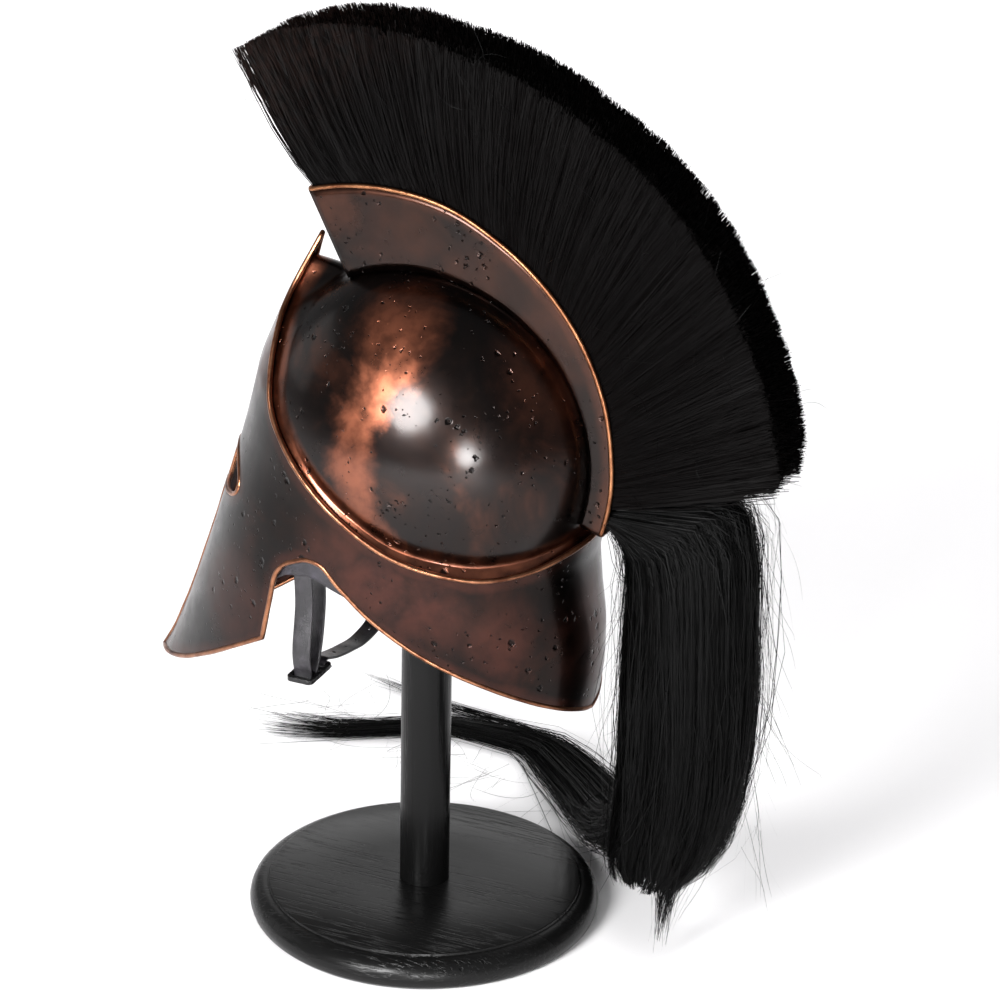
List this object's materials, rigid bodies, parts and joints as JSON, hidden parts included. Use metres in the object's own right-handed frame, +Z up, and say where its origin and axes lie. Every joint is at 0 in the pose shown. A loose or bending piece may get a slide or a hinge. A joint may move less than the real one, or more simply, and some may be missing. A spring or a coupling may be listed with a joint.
{
  "type": "greek bronze helmet on stand",
  "caption": "Crested Greek bronze helmet with cheek and neck guard, horsehair crest and long tail, leather liner and chin strap, on a round wooden stand.",
  "frame": {"origin": "centre of the stand's underside, on the axis of its post", "axes": "+Z up, the face of the helmet looks along -Y, +X is the wearer's left"},
  "size_m": [0.4123, 0.4918, 0.639],
  "materials": {
    "dark_bronze": "dark brown patinated bronze, polished",
    "patinated_bronze": "dark brown patinated bronze, polished, with copper-bright rims",
    "crest_bronze": "brown patinated bronze, pitted",
    "black_leather": "black liner leather",
    "strap_leather": "black strap leather",
    "black_horsehair": "stiff black horsehair, reddish at the cut ends",
    "long_black_horsehair": "long black horsehair, glossy",
    "black_lacquered_steel": "black lacquer",
    "black_painted_wood": "satin black paint over open grain",
    "black_painted_post": "satin black paint over open grain"
  },
  "bodies": {
    "root": {"skull_bowl": "dark_bronze", "face_and_neck_guard": "patinated_bronze", "liner_band": "black_leather", "crest_box": "crest_bronze", "crest_plume": "black_horsehair", "tail_plume": "long_black_horsehair", "chin_strap_left": "strap_leather", "chin_strap_right": "strap_leather", "strap_slide": "black_lacquered_steel", "stand_base": "black_painted_wood", "stand_post": "black_painted_post"}
  },
  "joints": []
}
